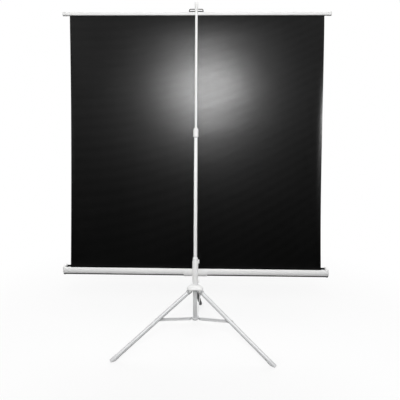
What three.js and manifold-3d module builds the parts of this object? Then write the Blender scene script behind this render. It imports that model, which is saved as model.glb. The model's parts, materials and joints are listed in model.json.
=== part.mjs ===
// A tripod projection screen, seen in use: a sheet pulled up out of a roller case and hooked on a
// telescopic mast, which stands in a folding tripod. Millimetres, +Z up, the picture side faces +Y.
// The mast's axis is x = 0, y = 0 in the assembly; the last lines put the origin under the middle of it all.
import * as THREE from "three";
import { mergeVertices } from "three/addons/utils/BufferGeometryUtils.js";
import Module from "manifold-3d";

const wasm = await Module();
wasm.setup();

// Driving dimensions
const gap = 0.3; // between pieces that touch
const fit = 0.4; // running clearance on a radius

const screenX = -3.2; // the case, the sheet and the slat hang a little to one side of the mast
const sheet = { width: 1800, top: 2302.3, thick: 0.6, y: 51.4, drawLeft: 6, drawRight: 10 };

const foot = { reach: 666, start: 616, width: 28, height: 32 }; // along the leg from its pivot
const leg = { drop: 32.8, pivotR: 40, pivotZ: 358, width: 24, height: 28, wall: 1.5, eyeEnd: 24, end: 632 };
const tripod = { rear: 87.4, left: 208.1, right: 329.1 }; // degrees about the mast

const base = { radius: 14.5, wall: 1.6, bottom: 150, top: 404.2, plug: 15, flange: 4.5 };
const hub = {
  bossRadius: 24, bossDepth: 27, top: 397, rimRadius: 64, rimBottom: 368, cheek: 5, skin: 4, corner: 20,
};
const holeReach = 40; // past both faces of anything that a pin goes through
const collar = { radius: 20, z: 152, height: 12, pivotR: 31, lug: 4.5, lugHalf: 7, lugStart: 10 };
const brace = { along: 294, thick: 4, height: 21 }; // along: from the leg's pivot to the brace's rivet
const pin = { radius: 4, head: 7, headThick: 2.5 };

const mast = { radius: 12, wall: 1.6, bottom: 166, top: 1462 };
const topTube = { radius: 8.5, wall: 1.2, bottom: 862, top: 2326 };
const twist = { radius: 18.2, lip: 19.5, bore: 14.6, bottom: 1440, seat: 1480, top: 1504, neck: 10.6 };
const capTop = 2377; // the mast's tip

const carrier = {
  radius: 20.5, neck: 17.5, bottom: 405, shoulder: 562, top: 587, bossRadius: 17, bossEnd: 22,
};
const button = { bottom: 547, top: 573, inner: 17.8, outer: 28.5, width: 14, pocket: 14.2 };
const knob = { z: 420, radius: 10, inner: 21.2, outer: 29.5, shank: 14 };

const shell = {
  length: 1870, y: 59, halfDepth: 32, waistZ: 486, depthBelow: 46, top: 497.5, wall: 2, corner: 3,
};
const slot = { from: 33, to: 85 }; // the case's mouth, along Y
const seamZ = 458; // where the case's walls meet its belly
const endCap = { length: 13.7, proud: 1, rise: 7, wall: 5, bossRadius: 9 };
const roller = { radius: 15, wall: 1.6, wound: 17, z: 474, length: 1850 };
const pivot = { z: 471, radius: 6, washer: 14, washerThick: 1.3 };
const saddle = {
  width: 168, back: 23.9, bottom: 443, top: 486,
  under: [[23.9, 461], [29, 450], [38, 441.5], [47, 438.6]], // its lower side, in Y and Z
};

const slat = { length: 1844, size: 24, bottom: 2295.3, wall: 1.6, corner: 5, mouth: 2 };
const slatCap = { length: 27.7, plug: 18, proud: 0.6 };
const loop = { width: 102, top: 2340, wire: 3, corner: 8, plateThick: 7, plateWidth: 104, plateDepth: 16 };
const hookWidth = 10;

// Finishes
const finishes = {
  whiteCoat: { color: 0xf0f0ee, roughness: 0.4, metalness: 0.0 },
  greyCoat: { color: 0xc4c5c6, roughness: 0.38, metalness: 0.2 },
  whitePlastic: { color: 0xe9e9e6, roughness: 0.5, metalness: 0.0 },
  palePlastic: { color: 0xd0d1d2, roughness: 0.55, metalness: 0.0 },
  greyPlastic: { color: 0x9a9b9c, roughness: 0.55, metalness: 0.0 },
  steel: { color: 0xa9abad, roughness: 0.32, metalness: 1.0 },
  darkSteel: { color: 0x55575a, roughness: 0.35, metalness: 1.0 },
  blackCoat: { color: 0x161616, roughness: 0.5, metalness: 0.0 },
  blackCloth: { color: 0x141414, roughness: 0.7, metalness: 0.0 },
  blackPlastic: { color: 0x202122, roughness: 0.55, metalness: 0.0 },
};

// Solids

// The geometry's position alone, with shared corners merged and its faces turned outwards.
function closed(geometry) {
  const bare = geometry.index ? geometry.toNonIndexed() : geometry.clone();
  for (const name of Object.keys(bare.attributes)) {
    if (name !== "position") bare.deleteAttribute(name);
  }
  const merged = mergeVertices(bare, 1e-3);
  const place = merged.attributes.position;
  const a = new THREE.Vector3();
  const b = new THREE.Vector3();
  const c = new THREE.Vector3();
  const kept = [];
  let volume = 0;
  for (let i = 0; i < merged.index.count; i += 3) {
    const [p, q, r] = [0, 1, 2].map((k) => merged.index.getX(i + k));
    if (p === q || q === r || r === p) continue;
    a.fromBufferAttribute(place, p);
    b.fromBufferAttribute(place, q);
    c.fromBufferAttribute(place, r);
    volume += a.dot(b.cross(c));
    kept.push([p, q, r]);
  }
  if (volume < 0) kept.forEach((face) => face.reverse());
  merged.setIndex(kept.flat());
  return merged;
}

function toSolid(geometry) {
  const merged = closed(geometry);
  const vertProperties = Float32Array.from(merged.attributes.position.array);
  const triVerts = Uint32Array.from(merged.index.array);
  return new wasm.Manifold(new wasm.Mesh({ numProp: 3, vertProperties, triVerts }));
}

function toGeometry(solid) {
  const { vertProperties, triVerts } = solid.getMesh();
  const geometry = new THREE.BufferGeometry();
  geometry.setAttribute("position", new THREE.BufferAttribute(Float32Array.from(vertProperties), 3));
  geometry.setIndex(Array.from(triVerts));
  return geometry;
}

function join(...geometries) {
  return toGeometry(geometries.map(toSolid).reduce((sum, solid) => sum.add(solid)));
}

function cut(geometry, ...tools) {
  return toGeometry(tools.map(toSolid).reduce((left, tool) => left.subtract(tool), toSolid(geometry)));
}

function overlapOf(first, second) {
  return toGeometry(toSolid(first).intersect(toSolid(second)));
}

// Shapes

// A profile of [radius, height] points turned about Z.
function turned(profile, segments = 24) {
  const points = profile.map(([r, z]) => new THREE.Vector2(r, z));
  return new THREE.LatheGeometry(points, segments).rotateX(Math.PI / 2);
}

function ring(inner, outer, bottom, top, segments = 24) {
  return turned([[inner, bottom], [outer, bottom], [outer, top], [inner, top], [inner, bottom]], segments);
}

function alongX(geometry) {
  return geometry.rotateY(Math.PI / 2);
}

function alongY(geometry) {
  return geometry.rotateX(-Math.PI / 2);
}

// A round bar from one height to another, standing on Z before it is turned.
function bar(radius, from, to, segments = 16) {
  const geometry = new THREE.CylinderGeometry(radius, radius, to - from, segments).rotateX(Math.PI / 2);
  return geometry.translate(0, 0, (from + to) / 2);
}

function block(x0, x1, y0, y1, z0, z1) {
  const geometry = new THREE.BoxGeometry(x1 - x0, y1 - y0, z1 - z0);
  return geometry.translate((x0 + x1) / 2, (y0 + y1) / 2, (z0 + z1) / 2);
}

function extrude(shape, depth, curveSegments = 12) {
  return new THREE.ExtrudeGeometry(shape, { depth, bevelEnabled: false, curveSegments });
}

// An outline in Y and Z, drawn out along X.
function prismX(shape, from, to, curveSegments) {
  const axes = new THREE.Matrix4().makeBasis(
    new THREE.Vector3(0, 1, 0), new THREE.Vector3(0, 0, 1), new THREE.Vector3(1, 0, 0));
  return extrude(shape, to - from, curveSegments).applyMatrix4(axes).translate(from, 0, 0);
}

// An outline in X and Z, drawn out along Y.
function prismY(shape, from, to, curveSegments) {
  return extrude(shape, to - from, curveSegments).rotateX(Math.PI / 2).translate(0, to, 0);
}

// A flat-sided oval, upright, centred on 0, 0.
function oval(width, height) {
  const r = width / 2;
  const flat = height / 2 - r;
  const shape = new THREE.Shape();
  shape.absarc(0, flat, r, 0, Math.PI, false);
  shape.absarc(0, -flat, r, Math.PI, 2 * Math.PI, false);
  shape.closePath();
  return shape;
}

// A bar's outline with round ends, from one point to another.
function link(from, to, halfHeight) {
  const angle = to.clone().sub(from).angle();
  const shape = new THREE.Shape();
  shape.absarc(to.x, to.y, halfHeight, angle - Math.PI / 2, angle + Math.PI / 2, false);
  shape.absarc(from.x, from.y, halfHeight, angle + Math.PI / 2, angle + 1.5 * Math.PI, false);
  shape.closePath();
  return shape;
}

function roundedBox(halfWidth, bottom, top, corner, centre = 0) {
  const left = centre - halfWidth;
  const right = centre + halfWidth;
  const shape = new THREE.Shape();
  shape.absarc(right - corner, bottom + corner, corner, -Math.PI / 2, 0, false);
  shape.absarc(right - corner, top - corner, corner, 0, Math.PI / 2, false);
  shape.absarc(left + corner, top - corner, corner, Math.PI / 2, Math.PI, false);
  shape.absarc(left + corner, bottom + corner, corner, Math.PI, 1.5 * Math.PI, false);
  shape.closePath();
  return shape;
}

// The scene graph

const assembly = new THREE.Group();
const hung = new THREE.Group(); // what hangs on the mast
hung.position.x = screenX;
assembly.add(hung);

function add(parent, name, geometry, finish) {
  const material = new THREE.MeshStandardMaterial(finishes[finish]);
  const shown = closed(geometry);
  shown.computeVertexNormals();
  const mesh = new THREE.Mesh(shown, material);
  mesh.name = name;
  parent.add(mesh);
}

// The tripod's fixed column

function makeColumn() {
  const inner = base.radius - base.wall;
  add(assembly, "base_tube", ring(inner, base.radius, base.bottom, base.top), "greyCoat");
  const plugTop = base.bottom + base.plug;
  const flange = base.bottom - base.flange;
  const plug = [
    [0, flange], [base.radius - 1.5, flange], [base.radius, flange + 1.5], [base.radius, base.bottom - gap],
    [inner - gap, base.bottom - gap], [inner - gap, plugTop], [0, plugTop],
  ];
  add(assembly, "base_plug", turned(plug), "blackPlastic");
}

// The leg frames: local X runs out along the leg's plan, local Y across it

const legNames = ["rear", "left", "right"]; // in turn about the mast
const braceSide = { left: -1, right: 1, rear: -1 };
const legFinish = {
  left: { tube: "greyCoat", foot: "palePlastic" },
  right: { tube: "greyCoat", foot: "palePlastic" },
  rear: { tube: "blackCoat", foot: "blackPlastic" },
};

function legFrame(name) {
  const frame = new THREE.Group();
  frame.rotation.z = THREE.MathUtils.degToRad(tripod[name]);
  assembly.add(frame);
  return frame;
}

const frames = Object.fromEntries(legNames.map((name) => [name, legFrame(name)]));

// A geometry made in a leg's frame, moved into the assembly.
function fromLeg(name, geometry) {
  return geometry.rotateZ(frames[name].rotation.z);
}

const legDrop = THREE.MathUtils.degToRad(leg.drop);
const pivotPoint = new THREE.Vector2(leg.pivotR, leg.pivotZ);
const downLeg = new THREE.Vector2(Math.cos(legDrop), -Math.sin(legDrop));
const rivetPoint = downLeg.multiplyScalar(brace.along).add(pivotPoint);
const collarPoint = new THREE.Vector2(collar.pivotR, collar.z);
const cheekInner = leg.width / 2 + fit;

function pinHole(point) {
  return alongY(bar(pin.radius + gap, -holeReach, holeReach)).translate(point.x, 0, point.y);
}

// The hub's outline from above: a triangle with a round corner over each leg
function hubPlan(corner) {
  const centres = legNames.map((name) => {
    const reach = new THREE.Vector2(hub.rimRadius - hub.corner, 0);
    return reach.rotateAround(new THREE.Vector2(), frames[name].rotation.z);
  });
  const sideNormal = (i) => centres[(i + 1) % 3].clone().sub(centres[i % 3]).angle() - Math.PI / 2;
  const shape = new THREE.Shape();
  centres.forEach(({ x, y }, i) => shape.absarc(x, y, corner, sideNormal(i + 2), sideNormal(i), false));
  shape.closePath();
  return shape;
}

// The hub: a hollow crowned cover, with a boss in its middle and two cheeks for each leg
function makeHub() {
  const { rimRadius: rim, rimBottom: low, top, bossRadius, bossDepth, skin, corner } = hub;
  const crown = [
    [0, low], [rim, low], [rim, low + 4], [rim - 1, low + 10], [rim - 3.5, low + 15], [rim - 8.5, low + 19.5],
    [rim - 16.5, low + 23.5], [rim - 27, low + 27], [rim - 37, top], [0, top],
  ];
  const roof = [
    [0, low - 1], [rim - skin, low - 1], [rim - skin, low + 3.5], [rim - 10, low + 8], [rim - 18, low + 11.5],
    [bossRadius, low + 16], [0, low + 16],
  ];
  const cheek = [
    [bossRadius - 4, low + 4], [rim - 32, low - 16], [rim - 18, low - 19], [rim - 11, low - 13],
    [rim - 11, low + 4], [rim - 18, low + 10], [bossRadius - 4, low + 14],
  ];
  const cheekShape = new THREE.Shape(cheek.map(([r, z]) => new THREE.Vector2(r, z)));
  const cover = overlapOf(turned(crown, 36), extrude(hubPlan(corner), top, 8));
  const hollow = overlapOf(turned(roof, 36), extrude(hubPlan(corner - skin), top, 8));
  const pieces = [cut(cover, hollow), bar(bossRadius, top - bossDepth, top - 4, 32)];
  const holes = [bar(base.radius + gap, low - holeReach, top + holeReach, 24)];
  for (const name of legNames) {
    for (const side of [-1, 1]) {
      const from = side > 0 ? cheekInner : -cheekInner - hub.cheek;
      pieces.push(fromLeg(name, prismY(cheekShape, from, from + hub.cheek)));
    }
    holes.push(fromLeg(name, pinHole(pivotPoint)));
  }
  add(assembly, "leg_hub", cut(join(...pieces), ...holes), "whitePlastic");
}

// A headed pin lying across the leg, its head on the given side
function headedPin(point, tail, headFrom, side) {
  const { radius, head, headThick } = pin;
  const profile = [
    [0, tail], [radius, tail], [radius, headFrom], [head, headFrom], [head, headFrom + headThick - 1],
    [head - 1.5, headFrom + headThick], [0, headFrom + headThick],
  ];
  const lying = alongY(turned(profile, 14));
  if (side < 0) lying.rotateZ(Math.PI);
  return lying.translate(point.x, 0, point.y);
}

function makeLeg(name) {
  const frame = frames[name];
  const cheekOuter = cheekInner + hub.cheek;
  const hingePin = headedPin(pivotPoint, -cheekOuter - 2, cheekOuter + gap, braceSide[name]);
  add(frame, `leg_pin_${name}`, hingePin, "steel");

  const arm = new THREE.Group(); // local X runs down the leg from its pivot
  arm.position.set(leg.pivotR, 0, leg.pivotZ);
  arm.rotation.y = legDrop;
  frame.add(arm);

  const outer = oval(leg.width, leg.height);
  const tube = oval(leg.width, leg.height);
  tube.holes.push(oval(leg.width - 2 * leg.wall, leg.height - 2 * leg.wall));
  add(arm, `leg_tube_${name}`, prismX(tube, leg.eyeEnd + gap, leg.end, 7), legFinish[name].tube);

  const half = leg.height / 2;
  const outline = link(new THREE.Vector2(0, 0), new THREE.Vector2(leg.eyeEnd + half, 0), half);
  const eye = overlapOf(prismY(outline, -half, half), prismX(outer, -half, leg.eyeEnd, 7));
  const slack = 2 * (leg.wall + gap);
  const plug = prismX(oval(leg.width - slack, leg.height - slack), leg.eyeEnd - 1, leg.eyeEnd + 36, 5);
  const hole = alongY(bar(pin.radius + gap, -half, half));
  add(arm, `leg_eye_${name}`, cut(join(eye, plug), hole), "greyPlastic");

  const floor = block(-200, 200, -100, 100, -leg.pivotZ - 200, -leg.pivotZ);
  floor.translate(leg.pivotR + foot.reach, 0, 0).rotateY(-legDrop);
  const socket = prismX(oval(leg.width + 2 * gap, leg.height + 2 * gap), foot.start - 1, leg.end + gap, 7);
  const boot = prismX(oval(foot.width, foot.height), foot.start, foot.reach, 8);
  add(arm, `foot_${name}`, cut(boot, socket, floor), legFinish[name].foot);
}

// The sliding collar at the foot of the column, and the braces that hold the legs apart
function makeCollar() {
  const half = collar.height / 2;
  const lugFrom = cheekInner + brace.thick + gap;
  const body = [bar(collar.radius, collar.z - half, collar.z + half, 28)];
  const holes = [bar(base.radius + fit, collar.z - holeReach, collar.z + holeReach, 24)];
  for (const name of legNames) {
    const outline = link(new THREE.Vector2(collar.lugStart, collar.z), collarPoint, collar.lugHalf);
    const from = braceSide[name] > 0 ? lugFrom : -lugFrom - collar.lug;
    body.push(fromLeg(name, prismY(outline, from, from + collar.lug)));
    holes.push(fromLeg(name, pinHole(collarPoint)));
  }
  add(assembly, "brace_collar", cut(join(...body), ...holes), "palePlastic");
}

function makeBrace(name) {
  const frame = frames[name];
  const side = braceSide[name];
  const near = cheekInner;
  const far = near + brace.thick;
  const outline = link(collarPoint, rivetPoint, brace.height / 2);
  const plate = side > 0 ? prismY(outline, near, far) : prismY(outline, -far, -near);
  add(frame, `brace_${name}`, cut(plate, ...[collarPoint, rivetPoint].map(pinHole)), "greyCoat");
  add(frame, `brace_rivet_${name}`, headedPin(rivetPoint, near + gap, far + gap, side), "steel");
  const collarPin = headedPin(collarPoint, near + gap, far + collar.lug + 2 * gap, side);
  add(frame, `collar_pin_${name}`, collarPin, "steel");
}

// The mast: a lower tube in the column, and a top tube that slides in it under a twist lock

function makeMast() {
  const lowerTube = ring(mast.radius - mast.wall, mast.radius, mast.bottom, mast.top);
  add(assembly, "mast_lower_tube", lowerTube, "whiteCoat");
  const sleeve = twist.bore - fit;
  add(assembly, "lock_ferrule", ring(mast.radius + gap, sleeve, mast.top - 28, mast.top), "greyPlastic");
  const collet = ring(topTube.radius + gap, sleeve, mast.top + fit, twist.seat - 1);
  add(assembly, "lock_collet", collet, "greyPlastic");
  const { radius, lip, bore, bottom, seat, top, neck } = twist;
  const throat = topTube.radius + fit;
  const nut = [
    [bore, bottom], [lip - 1, bottom], [lip, bottom + 1], [lip, bottom + 5], [radius - 0.4, bottom + 9],
    [radius - 0.4, bottom + 22], [radius, top - 24], [radius - 1.4, top - 14], [neck + 2.6, top - 6],
    [neck, top], [throat, top], [throat, seat], [bore, seat], [bore, bottom],
  ];
  add(assembly, "twist_lock", turned(nut, 28), "whitePlastic");

  const { radius: tubeRadius, wall, bottom: tubeBottom, top: tubeTop } = topTube;
  add(assembly, "mast_top_tube", ring(tubeRadius - wall, tubeRadius, tubeBottom, tubeTop), "whiteCoat");
  const bush = ring(tubeRadius + gap, mast.radius - mast.wall - gap, tubeBottom, tubeBottom + 38);
  add(assembly, "mast_slide_bush", bush, "greyPlastic");
}

// The mast's cap, with the hook that the screen hangs on
function makeHook() {
  const outer = topTube.radius + 3.5;
  const bore = topTube.radius + gap;
  const ceiling = topTube.top + gap;
  const skirt = topTube.top - 8;
  const cap = [
    [bore, skirt], [outer - 1, skirt], [outer, skirt + 2], [outer, capTop - 8], [outer - 1.5, capTop - 3.5],
    [outer - 5, capTop - 0.5], [0, capTop], [0, ceiling], [bore, ceiling], [bore, skirt],
  ];
  const seat = loop.top - loop.wire - gap;
  const barBack = sheet.y - loop.wire;
  const barFront = sheet.y + loop.wire;
  const hook = new THREE.Shape();
  hook.moveTo(4, seat - 8);
  hook.lineTo(barFront + 5, seat - 8);
  hook.lineTo(barFront + 8, seat - 5);
  hook.lineTo(barFront + 8, seat + 11);
  hook.lineTo(barFront + 3, seat + 11);
  hook.lineTo(barFront + 1.5, seat);
  hook.lineTo(barBack - 3, seat);
  hook.lineTo(barBack - 6, seat + 3);
  hook.lineTo(4, seat + 10);
  hook.closePath();
  add(assembly, "hook_cap", join(turned(cap), prismX(hook, -hookWidth / 2, hookWidth / 2)), "whitePlastic");
}

// The carrier that slides on the lower tube and carries the case

function makeCarrier() {
  const { radius, neck, bottom, shoulder, top, bossRadius, bossEnd } = carrier;
  const bore = mast.radius + gap;
  const sleeve = [
    [0, bottom], [radius - 1.5, bottom], [radius, bottom + 2], [radius, shoulder - 3], [neck, shoulder + 4],
    [neck, top - 3], [neck - 1.5, top], [0, top],
  ];
  const boss = alongY(bar(bossRadius, 6, bossEnd, 28)).translate(0, 0, pivot.z);
  const halfWidth = button.width / 2 + fit;
  const pocket = block(
    button.pocket, radius + 5, -halfWidth, halfWidth, button.bottom - fit, button.top + fit);
  const screwHole = alongX(bar(pin.radius + gap, 8, radius + 5)).translate(0, 0, knob.z);
  const pivotHole = alongY(bar(pivot.radius + gap, 8, bossEnd + 5)).translate(0, 0, pivot.z);
  const mastHole = bar(bore, bottom - holeReach, top + holeReach, 24);
  const body = cut(join(turned(sleeve, 28), boss), mastHole, pocket, screwHole, pivotHole);
  add(assembly, "case_carrier", body, "whitePlastic");

  const pressed = roundedBox(button.width / 2, button.bottom, button.top, 4);
  const side = new THREE.Shape();
  side.moveTo(button.inner, button.bottom);
  side.lineTo(button.outer - 5, button.bottom);
  side.quadraticCurveTo(button.outer, button.bottom + 4, button.outer, (button.bottom + button.top) / 2);
  side.quadraticCurveTo(button.outer, button.top - 4, button.outer - 5, button.top);
  side.lineTo(button.inner, button.top);
  side.closePath();
  const key = overlapOf(prismX(pressed, button.inner, button.outer, 5), prismY(side, -20, 20, 6));
  add(assembly, "release_button", key, "whitePlastic");

  const grip = [
    [0, knob.shank], [pin.radius, knob.shank], [pin.radius, knob.inner], [knob.radius - 1, knob.inner],
    [knob.radius, knob.inner + 1.5], [knob.radius, knob.outer - 2], [knob.radius - 2, knob.outer],
    [0, knob.outer],
  ];
  add(assembly, "clamp_knob", alongX(turned(grip, 24)).translate(0, 0, knob.z), "whitePlastic");
}

// The case: two walls and a belly around an open mouth, two end caps, and the saddle on the carrier

// The outline of the case grown by the given amount, closed across the top.
function caseOutline(grow, top) {
  const { y, halfDepth, waistZ, depthBelow, corner } = shell;
  const half = halfDepth + grow;
  const shape = new THREE.Shape();
  shape.moveTo(y - half + corner, top);
  shape.quadraticCurveTo(y - half, top, y - half, top - corner);
  shape.lineTo(y - half, waistZ);
  shape.absellipse(y, waistZ, half, depthBelow + grow, Math.PI, 2 * Math.PI, false);
  shape.lineTo(y + half, top - corner);
  shape.quadraticCurveTo(y + half, top, y + half - corner, top);
  shape.closePath();
  return shape;
}

function makeCase() {
  const half = shell.length / 2;
  const solid = prismX(caseOutline(0, shell.top), -half, half, 14);
  const hollow = prismX(caseOutline(-shell.wall, shell.top - shell.wall), -half - 1, half + 1, 14);
  const mouth = block(-half - 1, half + 1, slot.from, slot.to, roller.z, shell.top + 5);
  const skin = cut(solid, hollow, mouth);
  const strip = (y0, y1, z0, z1) => {
    return overlapOf(skin, block(-half - 1, half + 1, y0, y1, z0 + gap / 2, z1 - gap / 2));
  };
  const back = shell.y - shell.halfDepth - 5;
  const front = shell.y + shell.halfDepth + 5;
  const under = shell.waistZ - shell.depthBelow - 5;
  const over = shell.top + 5;
  add(hung, "case_wall_back", strip(back, shell.y, seamZ, over), "whiteCoat");
  add(hung, "case_wall_front", strip(shell.y, front, seamZ, over), "whiteCoat");
  add(hung, "case_belly", strip(back, front, under, seamZ), "whiteCoat");

  const inner = half + gap;
  const outer = inner + endCap.length;
  const bossFrom = inner + 6;
  const rollerY = sheet.y + sheet.thick / 2 + gap + roller.wound;
  for (const [name, side] of [["left", -1], ["right", 1]]) {
    const cup = prismX(caseOutline(endCap.proud, shell.top + endCap.rise), inner, outer, 14);
    const recess = prismX(caseOutline(-3, shell.top - 4), inner - 1, outer - endCap.wall, 14);
    const boss = alongX(bar(endCap.bossRadius, bossFrom, outer - 1)).translate(0, rollerY, roller.z);
    const socket = alongX(bar(pin.radius + 1 + gap, inner - 1, outer - 2)).translate(0, rollerY, roller.z);
    const made = cut(join(cut(cup, recess), boss), socket);
    if (side < 0) made.applyMatrix4(new THREE.Matrix4().makeScale(-1, 1, 1));
    add(hung, `end_cap_${name}`, made, "whitePlastic");
  }

  const steps = 10;
  const points = saddle.under.map(([y, z]) => new THREE.Vector2(y, z));
  for (let i = 0; i <= steps; i += 1) {
    const z = saddle.bottom + ((saddle.top - saddle.bottom) * i) / steps;
    const share = (shell.waistZ - z) / (shell.depthBelow + gap);
    points.push(new THREE.Vector2(shell.y - (shell.halfDepth + gap) * Math.sqrt(1 - share * share), z));
  }
  points.push(new THREE.Vector2(saddle.back, saddle.top));
  const plate = prismX(new THREE.Shape(points), -saddle.width / 2, saddle.width / 2);
  const pinEnd = saddle.back + 1.9;
  const hole = alongY(bar(pivot.radius + gap, saddle.back - 1, pinEnd)).translate(0, 0, pivot.z);
  add(assembly, "case_saddle", cut(plate, hole), "whitePlastic");
  const washerFrom = carrier.bossEnd + gap;
  const washer = ring(pivot.radius + gap, pivot.washer, washerFrom, washerFrom + pivot.washerThick);
  add(assembly, "swivel_washer", alongY(washer).translate(0, 0, pivot.z), "steel");
  const swivelPin = alongY(bar(pivot.radius, 14, pinEnd - gap)).translate(0, 0, pivot.z);
  add(assembly, "swivel_pin", swivelPin, "steel");
}

// The spring roller inside the case, with the turns of sheet that stay wound on it

function makeRoller() {
  const half = roller.length / 2;
  const y = sheet.y + sheet.thick / 2 + gap + roller.wound;
  const place = (geometry) => alongX(geometry).translate(0, y, roller.z);
  const bore = roller.radius - roller.wall;
  const shaft = pin.radius + 1;
  const pinEnd = shell.length / 2 + gap + endCap.length - 4;
  add(hung, "roller_tube", place(ring(bore, roller.radius, -half, half)), "steel");
  const wound = ring(roller.radius + gap, roller.wound, -sheet.width / 2, sheet.width / 2);
  add(hung, "wound_sheet", place(wound), "blackCloth");
  const plug = [
    [0, half - 30], [bore - gap, half - 30], [bore - gap, half + gap], [roller.radius, half + gap],
    [roller.radius, half + 4], [shaft, half + 4], [shaft, pinEnd], [0, pinEnd],
  ];
  add(hung, "roller_plug_right", place(turned(plug, 24)), "greyPlastic");
  const bushing = [
    [shaft + gap, -half + 30], [shaft + gap, -half - 4], [roller.radius, -half - 4],
    [roller.radius, -half - gap], [bore - gap, -half - gap], [bore - gap, -half + 30],
    [shaft + gap, -half + 30],
  ];
  add(hung, "roller_plug_left", place(turned(bushing, 24)), "greyPlastic");
  add(hung, "spring_mandrel", place(bar(shaft, -pinEnd, -half * 0.35)), "steel");
  const springFrom = -half + 40;
  const spring = ring(shaft + fit, bore - 3, springFrom, springFrom + half * 0.55, 24);
  add(hung, "roller_spring", place(spring), "darkSteel");
}

// The sheet, taut between case and slat, its free sides drawn in a little half way up
function makeSheet() {
  const half = sheet.width / 2;
  const bottom = roller.z;
  const side = (sign, draw) => new THREE.QuadraticBezierCurve(
    new THREE.Vector2(sign * half, bottom),
    new THREE.Vector2(sign * (half - 2 * draw), (bottom + sheet.top) / 2),
    new THREE.Vector2(sign * half, sheet.top));
  const right = side(1, sheet.drawRight).getPoints(12);
  const left = side(-1, sheet.drawLeft).getPoints(12).reverse();
  const outline = new THREE.Shape([...right, ...left]);
  const from = sheet.y - sheet.thick / 2;
  add(hung, "screen_sheet", prismY(outline, from, from + sheet.thick), "blackCloth");
}

// The slat along the sheet's top edge, with its end caps and the wire loop it hangs by

function makeSlat() {
  const half = slat.length / 2;
  const { size, bottom, wall, corner, mouth } = slat;
  const { length: capLength, plug, proud } = slatCap;
  const top = bottom + size;
  const tube = roundedBox(size / 2, bottom, top, corner, sheet.y);
  tube.holes.push(roundedBox(size / 2 - wall, bottom + wall, top - wall, corner - wall, sheet.y));
  const opening = block(-half - 1, half + 1, sheet.y - mouth / 2, sheet.y + mouth / 2, bottom - 1,
    bottom + wall + 1);
  add(hung, "slat_bar", cut(prismX(tube, -half, half, 4), opening), "whiteCoat");

  const plugHalf = size / 2 - wall - gap;
  for (const [name, side] of [["left", -1], ["right", 1]]) {
    const cap = roundedBox(size / 2 + proud, bottom - proud, top + proud, corner, sheet.y);
    const tenon = roundedBox(plugHalf, bottom + wall + gap, top - wall - gap, corner - wall, sheet.y);
    const made = join(prismX(cap, half + gap, half + capLength, 4), prismX(tenon, half - plug, half + 1, 4));
    if (side < 0) made.applyMatrix4(new THREE.Matrix4().makeScale(-1, 1, 1));
    add(hung, `slat_cap_${name}`, made, "whitePlastic");
  }

  const plateBottom = top + gap;
  const plateTop = plateBottom + loop.plateThick;
  const wireHalf = loop.width / 2 - loop.wire;
  const plate = block(-loop.plateWidth / 2, loop.plateWidth / 2, sheet.y - loop.plateDepth / 2,
    sheet.y + loop.plateDepth / 2, plateBottom, plateTop);
  const wireHoles = [-1, 1].map((side) => bar(loop.wire + gap, top - 1, plateTop + 1, 12)
    .translate(side * wireHalf, sheet.y, 0));
  add(hung, "loop_plate", cut(plate, ...wireHoles), "darkSteel");

  const path = new THREE.CurvePath();
  const at = (x, z) => new THREE.Vector3(x, sheet.y, z);
  const low = loop.top - loop.corner;
  const straight = (from, to) => path.add(new THREE.LineCurve3(from, to));
  const bend = (from, corner, to) => path.add(new THREE.QuadraticBezierCurve3(from, corner, to));
  straight(at(-wireHalf, plateBottom + gap), at(-wireHalf, low));
  bend(at(-wireHalf, low), at(-wireHalf, loop.top), at(-wireHalf + loop.corner, loop.top));
  straight(at(-wireHalf + loop.corner, loop.top), at(wireHalf - loop.corner, loop.top));
  bend(at(wireHalf - loop.corner, loop.top), at(wireHalf, loop.top), at(wireHalf, low));
  straight(at(wireHalf, low), at(wireHalf, plateBottom + gap));
  const section = new THREE.Shape().absarc(0, 0, loop.wire, 0, 2 * Math.PI, false);
  const wire = new THREE.ExtrudeGeometry(section, { steps: 30, extrudePath: path, curveSegments: 5 });
  add(hung, "hanger_loop", wire, "darkSteel");
}

makeColumn();
makeHub();
legNames.forEach(makeLeg);
makeCollar();
legNames.forEach(makeBrace);
makeMast();
makeHook();
makeCarrier();
makeCase();
makeRoller();
makeSheet();
makeSlat();

// The origin is on the floor, under the middle of the object.
const box = new THREE.Box3().setFromObject(assembly, true);
const middle = box.getCenter(new THREE.Vector3());
assembly.position.set(-middle.x, -middle.y, 0);

const screen = new THREE.Group();
screen.add(assembly);

export default screen;
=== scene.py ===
import json
import math

import bmesh
import bpy
from mathutils import Matrix, Vector


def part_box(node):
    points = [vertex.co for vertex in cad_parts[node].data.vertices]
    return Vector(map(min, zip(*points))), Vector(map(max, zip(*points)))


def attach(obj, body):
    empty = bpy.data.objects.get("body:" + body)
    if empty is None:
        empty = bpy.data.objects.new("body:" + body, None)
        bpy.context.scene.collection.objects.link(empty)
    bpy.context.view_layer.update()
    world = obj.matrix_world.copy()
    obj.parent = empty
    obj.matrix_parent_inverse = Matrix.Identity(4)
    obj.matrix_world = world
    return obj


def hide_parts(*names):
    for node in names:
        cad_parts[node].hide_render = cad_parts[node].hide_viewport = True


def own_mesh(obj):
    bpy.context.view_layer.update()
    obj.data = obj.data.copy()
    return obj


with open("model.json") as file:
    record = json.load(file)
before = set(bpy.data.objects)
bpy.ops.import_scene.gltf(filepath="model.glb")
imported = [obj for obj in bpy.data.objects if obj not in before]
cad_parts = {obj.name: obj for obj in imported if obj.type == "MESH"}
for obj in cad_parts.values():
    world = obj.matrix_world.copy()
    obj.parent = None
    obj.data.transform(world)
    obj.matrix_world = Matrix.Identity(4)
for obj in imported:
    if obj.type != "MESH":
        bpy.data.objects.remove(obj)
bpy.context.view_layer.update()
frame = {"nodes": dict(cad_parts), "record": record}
scene = bpy.context.scene
print("frame loaded:", len(frame["nodes"]), "solids")


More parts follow.
